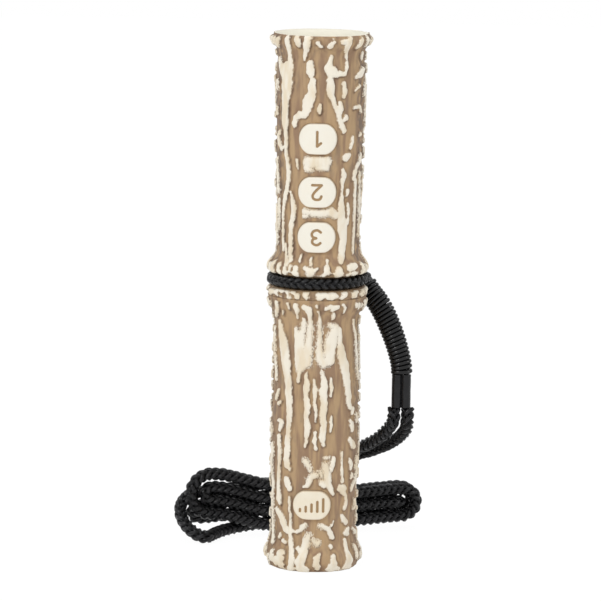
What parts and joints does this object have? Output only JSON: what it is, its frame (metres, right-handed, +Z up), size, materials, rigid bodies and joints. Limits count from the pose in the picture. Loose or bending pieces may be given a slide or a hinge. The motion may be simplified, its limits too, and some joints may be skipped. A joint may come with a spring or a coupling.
{
  "type": "deer call",
  "caption": "Upright mouth-blown deer call: two antler-textured barrels, press pads over a reed, and a braided neck lanyard with ferrule.",
  "frame": {"origin": "middle of the foot that the call stands on, at the exhaust end", "axes": "+Z up along the bore towards the mouth end; the press pads face -Y"},
  "size_m": [0.0922, 0.092, 0.195],
  "materials": {
    "antler_moulding": "soft moulded rubber, cream plateaux over tan recesses",
    "press_pad": "soft moulded cream rubber",
    "hard_plastic": "moulded black plastic",
    "reed_film": "thin polyester film",
    "elastic": "black elastic",
    "braid": "black braided cord",
    "whipping_cord": "glossy thin cord",
    "ferrule_plastic": "crimped black ferrule"
  },
  "bodies": {
    "lower": {"lower_barrel": "antler_moulding"},
    "upper": {"upper_barrel": "antler_moulding", "tone_board": "hard_plastic", "reed_wedge": "press_pad", "reed_band": "elastic", "stem_seal": "elastic"},
    "fawn_key": {"fawn_pad": "press_pad", "fawn_pin": "hard_plastic"},
    "doe_key": {"doe_pad": "press_pad", "doe_pin": "hard_plastic"},
    "young_buck_key": {"young_buck_pad": "press_pad", "young_buck_pin": "hard_plastic"},
    "volume_key": {"volume_pad": "press_pad", "volume_choke": "hard_plastic"},
    "reed_tongue": {"reed": "reed_film"},
    "lanyard": {"lanyard_noose": "braid", "noose_whipping": "whipping_cord", "lanyard_ferrule": "ferrule_plastic", "neck_cord_lead_a": "braid", "neck_cord_lead_b": "braid", "neck_cord_hank": "braid", "hank_tie": "elastic"}
  },
  "joints": [
    {"name": "barrel_pull", "type": "slide", "parent": "lower", "child": "upper", "axis": [0, 0, 1], "range_m": [0, 0.026]},
    {"name": "fawn_press", "type": "slide", "parent": "upper", "child": "fawn_key", "axis": [0, 1, 0], "range_m": [0, 0.0022], "stiffness_N_per_m": 900},
    {"name": "doe_press", "type": "slide", "parent": "upper", "child": "doe_key", "axis": [0, 1, 0], "range_m": [0, 0.0022], "stiffness_N_per_m": 900},
    {"name": "young_buck_press", "type": "slide", "parent": "upper", "child": "young_buck_key", "axis": [0, 1, 0], "range_m": [0, 0.0022], "stiffness_N_per_m": 900},
    {"name": "volume_press", "type": "slide", "parent": "lower", "child": "volume_key", "axis": [0, 1, 0], "range_m": [0, 0.004], "stiffness_N_per_m": 600},
    {"name": "reed_flex", "type": "hinge", "parent": "upper", "child": "reed_tongue", "pos_m": [0, -0.0035, 0.1152], "axis": [1, 0, 0], "range_deg": [-1.6, 0.3], "stiffness_Nm_per_rad": 0.02},
    {"name": "lanyard_swivel", "type": "hinge", "parent": "upper", "child": "lanyard", "pos_m": [0, 0, 0.1057], "axis": [0, 0, 1], "continuous": true}
  ]
}
